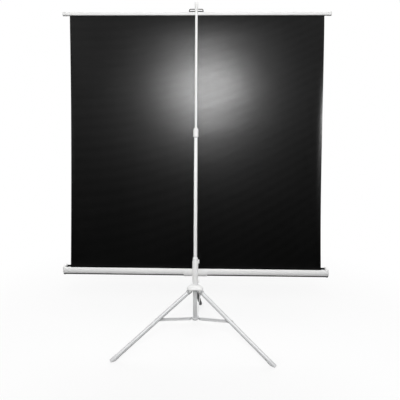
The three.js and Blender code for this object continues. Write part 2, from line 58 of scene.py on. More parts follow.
# where the mast stands: sizes are measured from its axis
lowMast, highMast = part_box("mast_lower_tube")
mastPlace = Matrix.Translation(((lowMast.x + highMast.x) / 2, (lowMast.y + highMast.y) / 2, 0))
slotOf = {part["node"]: part["material_slot"] for part in frame["record"]["subparts"]}

viewSettings = {
    "eye": (0.0868, -2.728, 1.446),  # from the mast, on the floor
    "turn": 1.21, "tilt": -1.57, "roll": 0.29,  # degrees
    "lens": 35.1, "sensor": 36.0, "shiftY": -0.1335,
}


def makeCamera(v):
    lens = bpy.data.cameras.new("viewCamera")
    lens.lens = v["lens"]
    lens.sensor_width = v["sensor"]
    lens.shift_y = v["shiftY"]
    lens.clip_start = 0.05
    lens.clip_end = 200
    eye = bpy.data.objects.new("viewCamera", lens)
    scene.collection.objects.link(eye)
    turn = Matrix.Rotation(math.radians(v["turn"]), 4, "Z")
    tilt = Matrix.Rotation(math.radians(90 + v["tilt"]), 4, "X")
    roll = Matrix.Rotation(math.radians(v["roll"]), 4, "Z")
    eye.matrix_world = mastPlace @ Matrix.Translation(v["eye"]) @ turn @ tilt @ roll
    scene.camera = eye


makeCamera(viewSettings)
print("camera placed")


class Patch:  # one shader socket: sums and products of patches add their own Math nodes
    def __init__(self, tree, socket=None):
        self.tree = tree
        self.socket = socket

    def node(self, kind, settings=None, links=None, out=0):
        made = self.tree.nodes.new(kind)
        for key, value in (settings or {}).items():
            if key == "stops":
                ramp = made.color_ramp.elements
                while len(ramp) < len(value):
                    ramp.new(1)
                for stop, (place, shade) in zip(ramp, value):
                    stop.position = place
                    stop.color = (*shade, 1)
            else:
                setattr(made, key, value)
        for key, value in (links or {}).items():
            if isinstance(value, Patch):
                self.tree.links.new(value.socket, made.inputs[key])
            else:
                made.inputs[key].default_value = value
        return Patch(self.tree, made.outputs[out]) if made.outputs else made

    def sum(self, operation, first, second=0.0):
        return self.node("ShaderNodeMath", {"operation": operation}, {0: first, 1: second})

    def __add__(self, other):
        return self.sum("ADD", self, other)

    def __sub__(self, other):
        return self.sum("SUBTRACT", self, other)

    def __rsub__(self, other):
        return self.sum("SUBTRACT", other, self)

    def __mul__(self, other):
        return self.sum("MULTIPLY", self, other)

    def __gt__(self, other):
        return self.sum("GREATER_THAN", self, other)

    def __abs__(self):
        return self.sum("ABSOLUTE", self)

    __radd__ = __add__
    __rmul__ = __mul__


def startFinish(name):
    made = bpy.data.materials.new(name)
    made.use_nodes = True
    made.node_tree.nodes.clear()
    patch = Patch(made.node_tree)
    return made, patch, patch.node("ShaderNodeTexCoord", out="Object")


def noise(patch, where, scale, detail=2.0, stretch=(1, 1, 1)):
    moved = patch.node("ShaderNodeMapping", links={"Vector": where, "Scale": stretch})
    return patch.node("ShaderNodeTexNoise", links={"Vector": moved, "Scale": scale, "Detail": detail}, out=0)


def spread(patch, value, low, high):  # 0 below low, 1 above high, smooth between
    return patch.node("ShaderNodeMapRange", {"interpolation_type": "SMOOTHSTEP"},
                      {"Value": value, "From Min": low, "From Max": high})


def tint(patch, share, first, second):
    return patch.node("ShaderNodeMix", {"data_type": "RGBA"}, {0: share, 6: first, 7: second}, out=2)


def relief(patch, height, distance, strength=1.0):
    return patch.node("ShaderNodeBump", links={"Height": height, "Distance": distance, "Strength": strength})


def closeFinish(patch, links):
    surface = patch.node("ShaderNodeBsdfPrincipled", links=links)
    patch.node("ShaderNodeOutputMaterial", links={"Surface": surface})


coatings = {  # sprayed metal: two tones, gloss and how much metal shows through
    "whiteCoat": {"light": (0.92, 0.92, 0.915, 1), "worn": (0.87, 0.87, 0.86, 1), "rough": 0.36, "metal": 0.0, "gloss": 0.3},
    "legCoat": {"light": (0.69, 0.695, 0.70, 1), "worn": (0.61, 0.615, 0.62, 1), "rough": 0.36, "metal": 0.2, "gloss": 0.5},
    "columnCoat": {"light": (0.85, 0.855, 0.86, 1), "worn": (0.78, 0.785, 0.79, 1), "rough": 0.36, "metal": 0.2, "gloss": 0.5},
    # blackCoat: near-black, given to the rear leg only, a painted shade for its unlit underside
    "blackCoat": {"light": (0.004, 0.004, 0.004, 1), "worn": (0.008, 0.008, 0.008, 1), "rough": 0.55, "metal": 0.0, "gloss": 0.25},
    "loopCoat": {"light": (0.008, 0.008, 0.008, 1), "worn": (0.016, 0.016, 0.016, 1), "rough": 0.42, "metal": 0.0, "gloss": 0.3},
    # innerCoat: near-black, for the inside of the case, a painted shade in its hollow
    "innerCoat": {"light": (0.016, 0.016, 0.016, 1), "worn": (0.01, 0.01, 0.01, 1), "rough": 0.6, "metal": 0.0, "gloss": 0.3},
}


def makeCoating(name, c):
    made, p, where = startFinish(name)
    cloud = noise(p, where, 7.0, 4.0)
    streak = noise(p, where, 34.0, 3.0, (1, 1, 0.12))
    peel = noise(p, where, 620.0, 2.0)  # the fine orange peel of a sprayed coat
    scuff = spread(p, noise(p, where, 85.0, 5.0, (1, 1, 0.5)), 0.66, 0.78)
    worn = spread(p, cloud * 0.6 + streak * 0.4, 0.38, 0.72)
    closeFinish(p, {
        "Base Color": tint(p, worn * 0.55 + scuff * 0.25, c["light"], c["worn"]),
        "Roughness": c["rough"] + cloud * 0.10 + scuff * 0.12,
        "Metallic": c["metal"],
        "Specular IOR Level": c["gloss"],
        "Normal": relief(p, peel + scuff * -0.25, 0.00012, 0.6),
    })
    return made


plastics = {  # moulded pieces: two tones and gloss
    "whiteMoulding": {"light": (0.87, 0.87, 0.865, 1), "shade": (0.79, 0.79, 0.78, 1), "rough": 0.46},
    "paleMoulding": {"light": (0.66, 0.665, 0.67, 1), "shade": (0.58, 0.585, 0.59, 1), "rough": 0.5},
    "greyMoulding": {"light": (0.50, 0.505, 0.51, 1), "shade": (0.42, 0.425, 0.43, 1), "rough": 0.5},
    # blackMouldingAndShade: black plastic for the column plug, and painted shade on the rear foot and on the strip
    # under the case
    "blackMouldingAndShade": {"light": (0.022, 0.022, 0.023, 1), "shade": (0.035, 0.035, 0.036, 1), "rough": 0.52},
}


def makePlastic(name, c):
    made, p, where = startFinish(name)
    flow = noise(p, where, 22.0, 3.0)
    grain = noise(p, where, 1300.0, 3.0)  # the matt skin of the mould
    rubbed = spread(p, noise(p, where, 60.0, 4.0), 0.58, 0.75)
    closeFinish(p, {
        "Base Color": tint(p, flow * 0.6 + rubbed * 0.25, c["light"], c["shade"]),
        "Roughness": c["rough"] + grain * 0.10 - rubbed * 0.10,
        "Normal": relief(p, grain, 0.00010, 0.7),
    })
    return made


metals = {  # bare metal: two tones, gloss and the way its fine scratches run
    "plainSteel": {"light": (0.62, 0.63, 0.64, 1), "shade": (0.42, 0.43, 0.44, 1), "rough": 0.26, "run": (1, 1, 14)},
    "darkWire": {"light": (0.10, 0.10, 0.105, 1), "shade": (0.05, 0.05, 0.052, 1), "rough": 0.3, "run": (0.1, 6, 6)},
}


def makeMetal(name, c):
    made, p, where = startFinish(name)
    scratch = noise(p, where, 420.0, 3.0, c["run"])
    stain = noise(p, where, 45.0, 4.0)
    closeFinish(p, {
        "Base Color": tint(p, stain, c["light"], c["shade"]),
        "Roughness": c["rough"] + scratch * 0.16 + stain * 0.08,
        "Metallic": 1.0,
        "Normal": relief(p, scratch, 0.00004, 0.5),
    })
    return made


clothSettings = {
    "thread": 0.0026, "rib": 0.0079,  # between one thread and the next, and one thick thread and the next
    "threadBow": 0.02, "threadSkew": 0.03,  # the threads lie in a slight arc across the sheet
    "back": ((0.0002, 0.0002, 0.0002, 1), (0.0005, 0.0005, 0.0005, 1)),
    "backRough": 0.265, "backGloss": 0.61, "threadRelief": 0.085, "ribRelief": 0.04, "ribSheen": 0.22,
    "front": ((0.84, 0.84, 0.835, 1), (0.80, 0.80, 0.79, 1)), "edge": (0.012, 0.012, 0.012, 1),
    "frontSide": 0.862, "frontTop": 2.232, "frontBottom": 0.545,  # where the black edge of the picture side starts
}


def weave(p, where, c):
    parts = p.node("ShaderNodeSeparateXYZ", links={"Vector": where}).socket.node
    across, up = Patch(p.tree, parts.outputs["X"]), Patch(p.tree, parts.outputs["Z"])
    along = up + across * across * c["threadBow"] + across * c["threadSkew"]
    turns, ribTurns = 2 * math.pi / c["thread"], 2 * math.pi / c["rib"]
    threads = p.sum("SINE", along * turns) * p.sum("SINE", across * turns)
    ribs = p.sum("SINE", along * ribTurns) * 0.35 + p.sum("SINE", across * ribTurns) * 0.15
    return across, up, threads * 0.5 + 0.5, ribs


def makeSheetBack(c):
    made, p, where = startFinish("sheetBack")
    across, up, threads, ribs = weave(p, where, c)
    wavy = noise(p, where, 3.2, 2.0, (0.5, 1, 2.6))  # the set that the roller leaves
    dust = noise(p, where, 160.0, 4.0)
    cloud = noise(p, where, 2.4, 3.0)
    closeFinish(p, {
        "Base Color": tint(p, threads * 0.35 + dust * 0.4, *c["back"]),
        "Roughness": c["backRough"] + threads * 0.03 + cloud * 0.04 + ribs * c["ribSheen"],
        "Specular IOR Level": c["backGloss"],
        "Normal": relief(p, threads * c["threadRelief"] + ribs * c["ribRelief"] + wavy * 1.1 + dust * 0.004, 0.001),
    })
    return made


def makeSheetFront(c):
    made, p, where = startFinish("sheetFront")
    across, up, threads, ribs = weave(p, where, c)
    grain = noise(p, where, 900.0, 2.0)
    cloud = noise(p, where, 2.0, 3.0)
    side = abs(across) > c["frontSide"]
    ends = p.sum("MAXIMUM", up > c["frontTop"], c["frontBottom"] - up > 0.0)
    edge = p.sum("MAXIMUM", side, ends)
    picture = tint(p, threads * 0.3 + cloud * 0.5, *c["front"])
    closeFinish(p, {
        "Base Color": tint(p, edge, picture, c["edge"]),
        "Roughness": 0.86 - edge * 0.2 + threads * 0.04,
        "Normal": relief(p, threads * 0.02 + grain * 0.02, 0.001),
    })
    return made


finish = {name: makeCoating(name, c) for name, c in coatings.items()}
finish.update({name: makePlastic(name, c) for name, c in plastics.items()})
finish.update({name: makeMetal(name, c) for name, c in metals.items()})
finish["sheetBack"] = makeSheetBack(clothSettings)
finish["sheetFront"] = makeSheetFront(clothSettings)
print("finishes made:", len(finish))


# pieces are drawn in millimetres from the mast's axis, and piece() brings them to metres
toMetres = mastPlace @ Matrix.Scale(0.001, 4)
hungBodies = ("case", "roller", "slat")  # what hangs on the mast,
hungAside = -3.2  # a little to one side of it
alongX = Matrix(((0, 0, 1, 0), (1, 0, 0, 0), (0, 1, 0, 0), (0, 0, 0, 1)))  # an outline in y, z drawn along x
acrossY = Matrix(((1, 0, 0, 0), (0, 0, -1, 0), (0, 1, 0, 0), (0, 0, 0, 1)))  # an outline in x, z drawn along -y
mirrorX = Matrix.Scale(-1, 4, (1, 0, 0))


def shift(x=0.0, y=0.0, z=0.0):
    return Matrix.Translation((x, y, z))


def turnedBy(degrees, axis):
    return Matrix.Rotation(math.radians(degrees), 4, axis)


def softened(bm, width, angle=40, steps=2):  # rounds the edges that turn by more than the angle
    limit = math.radians(angle)
    edges = [e for e in bm.edges if e.is_manifold and e.calc_face_angle() > limit]
    bmesh.ops.bevel(bm, geom=edges, offset=width, offset_type="OFFSET", affect="EDGES", segments=steps,
                    profile=0.5, material=-1, clamp_overlap=True)
    return bm


def spun(line, steps=48, edge=0.0, angle=30):  # a line of (radius, height) turned about z
    bm = bmesh.new()
    verts = [bm.verts.new((r, 0, z)) for r, z in line]
    for first, second in zip(verts, verts[1:]):
        bm.edges.new((first, second))
    if line[0][0] > 0:
        bm.edges.new((verts[-1], verts[0]))
    bmesh.ops.spin(bm, geom=bm.verts[:] + bm.edges[:], cent=(0, 0, 0), axis=(0, 0, 1), angle=2 * math.pi,
                   steps=steps, use_merge=True, use_duplicate=False)
    bmesh.ops.remove_doubles(bm, verts=bm.verts, dist=1e-3)
    bmesh.ops.recalc_face_normals(bm, faces=bm.faces)
    return softened(bm, edge, angle) if edge else bm


def drawn(outline, low, high, edge=0.0, corners=None):  # a flat outline drawn out along z
    bm = bmesh.new()
    verts = [bm.verts.new((x, y, low)) for x, y in outline]
    bm.faces.new(verts)
    for size in sorted(set(corners or [])):
        chosen = [v for v, each in zip(verts, corners) if each == size and size > 0]
        if chosen:
            bmesh.ops.bevel(bm, geom=chosen, offset=size, offset_type="OFFSET", affect="VERTICES", segments=4,
                            profile=0.5, material=-1, clamp_overlap=True)
    out = bmesh.ops.extrude_face_region(bm, geom=bm.faces[:])
    moved = [v for v in out["geom"] if isinstance(v, bmesh.types.BMVert)]
    bmesh.ops.translate(bm, vec=(0, 0, high - low), verts=moved)
    bmesh.ops.recalc_face_normals(bm, faces=bm.faces)
    return softened(bm, edge) if edge else bm


def placed(bm, *moves):
    whole = Matrix.Identity(4)
    for move in moves:
        whole = whole @ move
    bmesh.ops.transform(bm, matrix=whole, verts=bm.verts)
    if whole.determinant() < 0:
        bmesh.ops.reverse_faces(bm, faces=bm.faces)
    return bm


def ribbed(bm, low, high, least, steps, depth):  # every other column of points goes in by the depth
    for v in bm.verts:
        radius = math.hypot(v.co.x, v.co.y)
        column = round(math.atan2(v.co.y, v.co.x) * steps / (2 * math.pi))
        if low < v.co.z < high and radius > least and column % 2:
            v.co.x *= 1 - depth / radius
            v.co.y *= 1 - depth / radius
    return bm


def joined(shells):
    whole = bmesh.new()
    for shell in shells:
        part = bpy.data.meshes.new("part")
        shell.to_mesh(part)
        shell.free()
        whole.from_mesh(part)
        bpy.data.meshes.remove(part)
    return whole


def carved(bm, *tools):  # the shape with the tools taken out of it
    parts = []
    for shape in (bm, *tools):
        mesh = bpy.data.meshes.new("part")
        shape.to_mesh(mesh)
        shape.free()
        parts.append(bpy.data.objects.new("part", mesh))
        scene.collection.objects.link(parts[-1])
    for tool in parts[1:]:
        cut = parts[0].modifiers.new("cut", "BOOLEAN")
        cut.operation = "DIFFERENCE"
        cut.solver = "EXACT"
        cut.object = tool
    result = bpy.data.meshes.new_from_object(parts[0].evaluated_get(bpy.context.evaluated_depsgraph_get()))
    made = bmesh.new()
    made.from_mesh(result)
    bpy.data.meshes.remove(result)
    for part in parts:
        mesh = part.data
        bpy.data.objects.remove(part)
        bpy.data.meshes.remove(mesh)
    return made


def piece(name, shells, coats, body, stands=(), smooth=38):
    whole = joined(shells)
    aside = hungAside if body in hungBodies else 0
    bmesh.ops.transform(whole, matrix=toMetres @ shift(aside), verts=whole.verts)
    mesh = bpy.data.meshes.new(name)
    whole.to_mesh(mesh)
    whole.free()
    mesh.shade_smooth()
    mesh.set_sharp_from_angle(angle=math.radians(smooth))
    made = bpy.data.objects.new(name, mesh)
    scene.collection.objects.link(made)
    for coat in coats.split():
        mesh.materials.append(finish[coat])
    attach(made, body)
    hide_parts(*stands)
    return made


def tube(radius, wall, bottom, top, edge=0.4):
    inner = radius - wall
    return spun([(inner, bottom), (radius, bottom), (radius, top), (inner, top)], 48, edge)


def arc(x, y, radius, start, end, steps):  # points on part of a circle, in degrees
    turns = [math.radians(start + (end - start) * k / steps) for k in range(steps + 1)]
    return [(x + radius * math.cos(t), y + radius * math.sin(t)) for t in turns]


def linkLine(first, second, half):  # a bar with round ends between two points
    (ax, ay), (bx, by) = first, second
    lean = math.degrees(math.atan2(by - ay, bx - ax))
    return arc(bx, by, half, lean - 90, lean + 90, 14) + arc(ax, ay, half, lean + 90, lean + 270, 14)


def sidePlate(outline, near, far, edge=0.0):  # an outline in x, z with its thickness along y
    return placed(drawn(outline, -far, -near, edge), acrossY)


# the column
column = {"radius": 14.5, "wall": 1.6, "bottom": 150, "top": 404.2}
basePlug = [(0, 145.5), (13, 145.5), (14.5, 147), (14.5, 149.7), (12.6, 149.7), (12.6, 165), (0, 165)]
piece("columnTube", [tube(**column)], "columnCoat", "stand", ["base_tube"])
piece("columnPlug", [spun(basePlug, 40)], "blackMouldingAndShade", "stand", ["base_plug"])

# the hub, with a corner over each leg
legTurns = {"rear": 87.4, "left": 208.1, "right": 329.1}  # degrees about the mast
braceSide = {"left": -1, "right": 1, "rear": -1}
hinge = {"out": 40, "up": 358, "drop": 32.8}
hub = {
    "cornerOut": 44, "corner": 20, "bore": 14.8,  # the outline from above, and the column's room
    "rings": [(0.2, 384), (0.6, 380), (0.9, 376), (0.93, 368.6), (0.945, 368), (0.985, 368), (1.0, 369), (1.0, 372),
              (0.985, 378), (0.95, 383), (0.87, 387.5), (0.74, 391.5), (0.58, 395), (0.42, 397), (0.2, 397)],
    "cheek": [(20, 372), (32, 352), (46, 349), (53, 355), (53, 372), (46, 376), (20, 380)],
    "cheekIn": 12.4, "cheekOut": 17.4,
}


def legTurn(name):
    return turnedBy(legTurns[name], "Z")


def legPlace(name):
    return legTurn(name) @ shift(hinge["out"], 0, hinge["up"]) @ turnedBy(hinge["drop"], "Y")


def hubOutline(h):  # a triangle with a round corner over each leg
    corners = [legTurn(name) @ Vector((h["cornerOut"], 0, 0)) for name in legTurns]
    sides = [math.degrees(math.atan2(*(second - first).yx)) - 90
             for first, second in zip(corners, corners[1:] + corners[:1])]
    line = []
    for k, corner in enumerate(corners):
        start = sides[k - 1]
        line += arc(corner.x, corner.y, h["corner"], start, start + (sides[k] - start) % 360, 14)
    return line


def makeCover(h):  # the outline drawn in and up, ring by ring, from the hollow underside to the crown
    bm = bmesh.new()
    last, z = h["rings"][0]
    bm.faces.new([bm.verts.new((x * last, y * last, z)) for x, y in hubOutline(h)])
    edges = bm.edges[:]
    for share, z in h["rings"][1:]:
        out = bmesh.ops.extrude_edge_only(bm, edges=edges)["geom"]
        edges = [g for g in out if isinstance(g, bmesh.types.BMEdge)]
        verts = [g for g in out if isinstance(g, bmesh.types.BMVert)]
        bmesh.ops.scale(bm, vec=(share / last, share / last, 1), verts=verts)
        bmesh.ops.translate(bm, vec=(0, 0, z - verts[0].co.z), verts=verts)
        last = share
    bmesh.ops.holes_fill(bm, edges=edges)
    bmesh.ops.recalc_face_normals(bm, faces=bm.faces)
    return bm


hubBore = spun([(0, 360), (hub["bore"], 360), (hub["bore"], 400), (0, 400)], 56)
hubShells = [carved(makeCover(hub), hubBore)]
for name in legTurns:
    for near, far in ((hub["cheekIn"], hub["cheekOut"]), (-hub["cheekOut"], -hub["cheekIn"])):
        hubShells.append(placed(sidePlate(hub["cheek"], near, far, 1.0), legTurn(name)))
piece("legHub", hubShells, "whiteMoulding", "stand", ["leg_hub"], 50)
print("column and hub made")

# the legs
leg = {"width": 24, "height": 28, "from": 24.3, "to": 632, "grooveHalf": 1.5, "grooveDepth": 0.9, "eye": 14, "eyeEnd": 24}
boot = {"from": 616, "to": 666, "width": 27, "height": 31, "edge": 3.0, "band": 8, "proud": 0.5}
pinSize = {"radius": 4, "head": 7, "thick": 2.5}
# the rear leg and its foot are coloured black, though they are the same as the other legs: painted shade on the rear
# leg's unlit underside
legFinish = {"left": ("legCoat", "paleMoulding"), "right": ("legCoat", "paleMoulding"),
             "rear": ("blackCoat", "blackMouldingAndShade")}


def oval(width, height):  # upright, with flat sides
    r, flat = width / 2, (height - width) / 2
    return arc(0, flat, r, 0, 180, 16) + arc(0, -flat, r, 180, 360, 16)


def legSection(c):  # the oval with a shallow groove along each side
    r, flat, g, d = c["width"] / 2, (c["height"] - c["width"]) / 2, c["grooveHalf"], c["grooveDepth"]
    groove = [(r, -g), (r - d, -g * 0.4), (r - d, g * 0.4), (r, g)]
    return (arc(0, flat, r, 0, 180, 16) + [(-x, -y) for x, y in groove]
            + arc(0, -flat, r, 180, 360, 16) + groove)


def headed(tail, start):  # a pin with a head, standing on z
    r, head, thick = pinSize["radius"], pinSize["head"], pinSize["thick"]
    return spun([(0, tail), (r - 1, tail), (r, tail + 1), (r, start), (head, start), (head, start + thick - 1),
                 (head - 1.6, start + thick), (0, start + thick + 0.5)], 32)


def pinAt(name, out, up, tail, start):
    side = braceSide[name]
    return placed(headed(tail, start), legTurn(name), shift(out, 0, up), turnedBy(-90 * side, "X"))


def makeBoot(name, b):
    bm = drawn(oval(b["width"], b["height"]), b["from"], b["to"], b["edge"])
    band = drawn(oval(b["width"] + 2 * b["proud"], b["height"] + 2 * b["proud"]), b["from"] - 0.2, b["from"] + b["band"], 0.8)
    shells = []
    for shape in (bm, band):
        placed(shape, legPlace(name), alongX)
        bmesh.ops.bisect_plane(shape, geom=shape.verts[:] + shape.edges[:] + shape.faces[:], dist=1e-4,
                               plane_co=(0, 0, 0), plane_no=(0, 0, -1), clear_outer=True)
        bmesh.ops.holes_fill(shape, edges=[e for e in shape.edges if e.is_boundary])
        bmesh.ops.recalc_face_normals(shape, faces=shape.faces)
        shells.append(shape)
    return shells


for name in legTurns:
    title = name.title()
    coat, cap = legFinish[name]
    eyeLine = arc(0, 0, leg["eye"], 90, 270, 16) + [(leg["eyeEnd"], -leg["eye"]), (leg["eyeEnd"], leg["eye"])]
    body = "leg_" + name
    legTube = placed(drawn(legSection(leg), leg["from"], leg["to"]), legPlace(name), alongX)
    piece("legTube" + title, [legTube], coat, body, ["leg_tube_" + name])
    eye = placed(sidePlate(eyeLine, -leg["width"] / 2, leg["width"] / 2, 4.0), legPlace(name))
    piece("legEye" + title, [eye], "greyMoulding", body, ["leg_eye_" + name])
    piece("foot" + title, makeBoot(name, boot), cap, body, ["foot_" + name])
    pin = pinAt(name, hinge["out"], hinge["up"], -hub["cheekOut"] - 2, hub["cheekOut"] + 0.3)
    piece("legPin" + title, [pin], "plainSteel", "stand", ["leg_pin_" + name])
print("legs made")

# the collar and the braces
collar = {"ring": [(14.9, 146), (20, 146), (20, 158), (14.9, 158)], "out": 31, "up": 152, "lugFrom": 10, "lugHalf": 7,
          "lugIn": 16.7, "lugOut": 21.2}
brace = {"along": 294, "half": 10.5, "near": 12.4, "far": 16.4, "rim": 2.6, "hollow": 1.3}
drop = math.radians(hinge["drop"])
rivet = (hinge["out"] + brace["along"] * math.cos(drop), hinge["up"] - brace["along"] * math.sin(drop))


def onSide(name, near, far):
    return (near, far) if braceSide[name] > 0 else (-far, -near)


def makeBrace(name, b):  # a flat bar, pressed hollow between raised edges
    near, far = onSide(name, b["near"], b["far"])
    bm = drawn(linkLine((collar["out"], collar["up"]), rivet, b["half"]), -far, -near)
    for face in [f for f in bm.faces if abs(f.normal.z) > 0.9]:
        bmesh.ops.inset_region(bm, faces=[face], thickness=b["rim"], depth=0, use_even_offset=True)
        bmesh.ops.inset_region(bm, faces=[face], thickness=0.8, depth=0, use_even_offset=True)
        bmesh.ops.translate(bm, vec=face.normal * -b["hollow"], verts=face.verts)
    return placed(softened(bm, 0.5, 60), acrossY)


collarShells = [spun(collar["ring"], 48, 1.4)]
for name in legTurns:
    title = name.title()
    lug = linkLine((collar["lugFrom"], collar["up"]), (collar["out"], collar["up"]), collar["lugHalf"])
    collarShells.append(placed(sidePlate(lug, *onSide(name, collar["lugIn"], collar["lugOut"]), 0.8), legTurn(name)))
    strut = "strut_" + name
    piece("brace" + title, [placed(makeBrace(name, brace), legTurn(name))], "columnCoat", strut, ["brace_" + name])
    pin = pinAt(name, *rivet, brace["near"] + 0.3, brace["far"] + 0.3)
    piece("braceRivet" + title, [pin], "plainSteel", strut, ["brace_rivet_" + name])
    pin = pinAt(name, collar["out"], collar["up"], brace["near"] + 0.3, collar["lugOut"] + 0.3)
    piece("collarPin" + title, [pin], "plainSteel", "collar", ["collar_pin_" + name])
piece("braceCollar", collarShells, "paleMoulding", "collar", ["brace_collar"])
print("collar and braces made")

# the mast
lowerTube = {"radius": 12, "wall": 1.6, "bottom": 166, "top": 1462}
upperTube = {"radius": 8.5, "wall": 1.2, "bottom": 862, "top": 2326}
twist = {
    "line": [(14.6, 1440), (19.5, 1440), (19.5, 1445), (17.8, 1449), (17.8, 1464), (18.2, 1480), (16.8, 1490),
             (13.2, 1498), (10.6, 1504), (8.9, 1504), (8.9, 1480), (14.6, 1480)],
    "grip": (1450, 1481), "ribs": 60, "depth": 0.7,
}
hook = {
    "cap": [(0, 2326.3), (8.8, 2326.3), (8.8, 2318), (11, 2318), (12, 2320), (12, 2369), (10.5, 2373.5),
            (7, 2376.5), (0, 2377)],
    "half": 5, "seat": 2336.7,
    "line": [(4, -8), (59.4, -8), (62.4, -5), (62.4, 11), (57.4, 11), (55.9, 0), (45.4, 0), (42.4, 3), (4, 10)],
}
piece("mastLowerTube", [tube(**lowerTube)], "whiteCoat", "stand", ["mast_lower_tube"])
piece("mastUpperTube", [tube(**upperTube)], "whiteCoat", "mast_top", ["mast_top_tube"])
nut = ribbed(spun(twist["line"], twist["ribs"]), *twist["grip"], 16, twist["ribs"], twist["depth"])
piece("twistLock", [nut], "whiteMoulding", "lock", ["twist_lock"], 25)
hookLine = [(y, hook["seat"] + z) for y, z in hook["line"]]
hookArm = placed(drawn(hookLine, -hook["half"], hook["half"], 1.2), alongX)
piece("mastHook", [spun(hook["cap"], 40), hookArm], "whiteCoat", "mast_top", ["hook_cap"])
print("mast made")

# the carrier that slides on the mast, with its button and its knob
carrier = {
    "line": [(12.3, 405), (19, 405), (20.5, 407), (20.5, 559), (17.5, 566), (17.5, 584), (16, 587), (12.3, 587)],
    "bossRadius": 17, "bossFrom": 6, "bossTo": 22, "bossUp": 471, "pocketHalf": 7.4, "pocket": (14.2, 26, 546.6, 573.4),
}
button = {"half": 7, "bottom": 547, "top": 573, "corner": 4, "from": 17.8, "to": 28.5, "edge": 2.6}
knob = {"up": 420, "line": [(0, 14), (4, 14), (4, 21.2), (9, 21.2), (10, 22.7), (10, 27.5), (8, 29.5), (0, 29.5)], "ribs": 40}


def box(x0, x1, y0, y1, z0, z1, edge=0.0):
    return drawn([(x0, y0), (x1, y0), (x1, y1), (x0, y1)], z0, z1, edge)


x0, x1, z0, z1 = carrier["pocket"]
pocket = box(x0, x1, -carrier["pocketHalf"], carrier["pocketHalf"], z0, z1)
bore = placed(spun([(0, 8), (4.3, 8), (4.3, 30), (0, 30)], 24), shift(0, 0, knob["up"]), turnedBy(90, "Y"))
boss = [(0, carrier["bossFrom"]), (carrier["bossRadius"], carrier["bossFrom"]),
        (carrier["bossRadius"], carrier["bossTo"] - 1.5), (carrier["bossRadius"] - 1.5, carrier["bossTo"]),
        (0, carrier["bossTo"])]
bossShell = placed(spun(boss, 40), shift(0, 0, carrier["bossUp"]), turnedBy(-90, "X"))
sleeve = carved(spun(carrier["line"], 56, 0.8, 20), pocket, bore)
mastRoom = spun([(0, 400), (12.3, 400), (12.3, 600), (0, 600)], 56)
piece("caseCarrier", [sleeve, carved(bossShell, mastRoom)], "whiteMoulding", "carrier", ["case_carrier"])
face = [(-button["half"], button["bottom"]), (button["half"], button["bottom"]),
        (button["half"], button["top"]), (-button["half"], button["top"])]
press = placed(drawn(face, button["from"], button["to"], 0, [button["corner"]] * 4), alongX)
softened(press, button["edge"], 60, 3)
piece("releaseButton", [press], "whiteMoulding", "button", ["release_button"])
grip = ribbed(spun(knob["line"], knob["ribs"]), 22, 28.5, 7, knob["ribs"], 0.8)
piece("clampKnob", [placed(grip, shift(0, 0, knob["up"]), turnedBy(90, "Y"))], "whiteMoulding", "knob",
      ["clamp_knob"], 25)
print("carrier made")

# the case
case = {"half": 935, "y": 59, "depth": 32, "waist": 486, "below": 46, "top": 497.5, "wall": 2, "corner": 3,
        "mouth": (33, 85), "middle": 474}
cap = {"from": 935.3, "to": 949, "proud": 1, "rise": 7, "edge": 3.0, "boltUp": 474, "boltOut": 69}
bellyShade = {"from": 44, "to": 136, "thick": 0.8, "padThick": 1.6,  # a black strip round the belly, from and to in degrees: painted shade along the case's underside
        "runs": ((-935, -81.5), (87.9, 935))}  # up to the saddle on both sides
saddle = {"half": 84, "bottom": 443, "top": 486,
          "under": [(23.9, 486), (23.9, 461), (29, 450), (38, 441.5), (47, 438.6)]}  # its outer side


def caseLine(c, grow, top):  # from the front edge of the top round under the belly to the back edge
    half, depth = c["depth"] + grow, c["below"] + grow
    turns = [math.pi * k / 36 for k in range(37)]
    belly = [(c["y"] + half * math.cos(t), c["waist"] - depth * math.sin(t)) for t in turns]
    r = c["corner"]
    front = [(c["y"] + half - r, top), (c["y"] + half - r * 0.3, top - r * 0.3), (c["y"] + half, top - r)]
    return front + belly + [(2 * c["y"] - y, z) for y, z in reversed(front)]


outside, inside = caseLine(case, 0, case["top"]), caseLine(case, -case["wall"], case["top"] - case["wall"])
near, far = case["mouth"]
ring = ([(far, case["top"])] + outside + [(near, case["top"]), (near, case["top"] - case["wall"])]
        + inside[::-1] + [(far, case["top"] - case["wall"])])
shellStands = ["case_wall_back", "case_wall_front", "case_belly"]
shell = placed(drawn(ring, -case["half"], case["half"]), alongX)
for f in shell.faces:  # the inside of the profile gets a near-black coat: painted shade in the case's hollow
    off = f.calc_center_median() - Vector((0, case["y"], case["middle"]))
    f.material_index = 1 if off.y * f.normal.y + off.z * f.normal.z < 0 else 0
piece("caseShell", [shell], "whiteCoat innerCoat", "case", shellStands, 30)
capLine = caseLine(case, cap["proud"], case["top"] + cap["rise"])
for side, move in (("left", mirrorX), ("right", Matrix.Identity(4))):
    body = placed(drawn(capLine, cap["from"], cap["to"], cap["edge"]), move, alongX)
    bolt = spun([(0, 0), (5, 0), (5, 0.9), (4, 1.6), (0, 1.9)], 24)
    placed(bolt, move, shift(cap["to"] - 1.6, cap["boltOut"], cap["boltUp"]), turnedBy(90, "Y"))
    piece("endCap" + side.title(), [body, bolt], "whiteMoulding", "case", ["end_cap_" + side])


def makeBellyShade(c, t, grow, thick, start, end):  # a black strip that follows the underside of the case: painted shade along it
    turns = [math.radians(t["from"] + (t["to"] - t["from"]) * k / 16) for k in range(17)]
    inner, outer = ([(c["y"] + (c["depth"] + g) * math.cos(a), c["waist"] - (c["below"] + g) * math.sin(a)) for a in turns]
                    for g in (grow, grow + thick))
    return placed(drawn(inner + outer[::-1], start, end, 0.3), alongX)


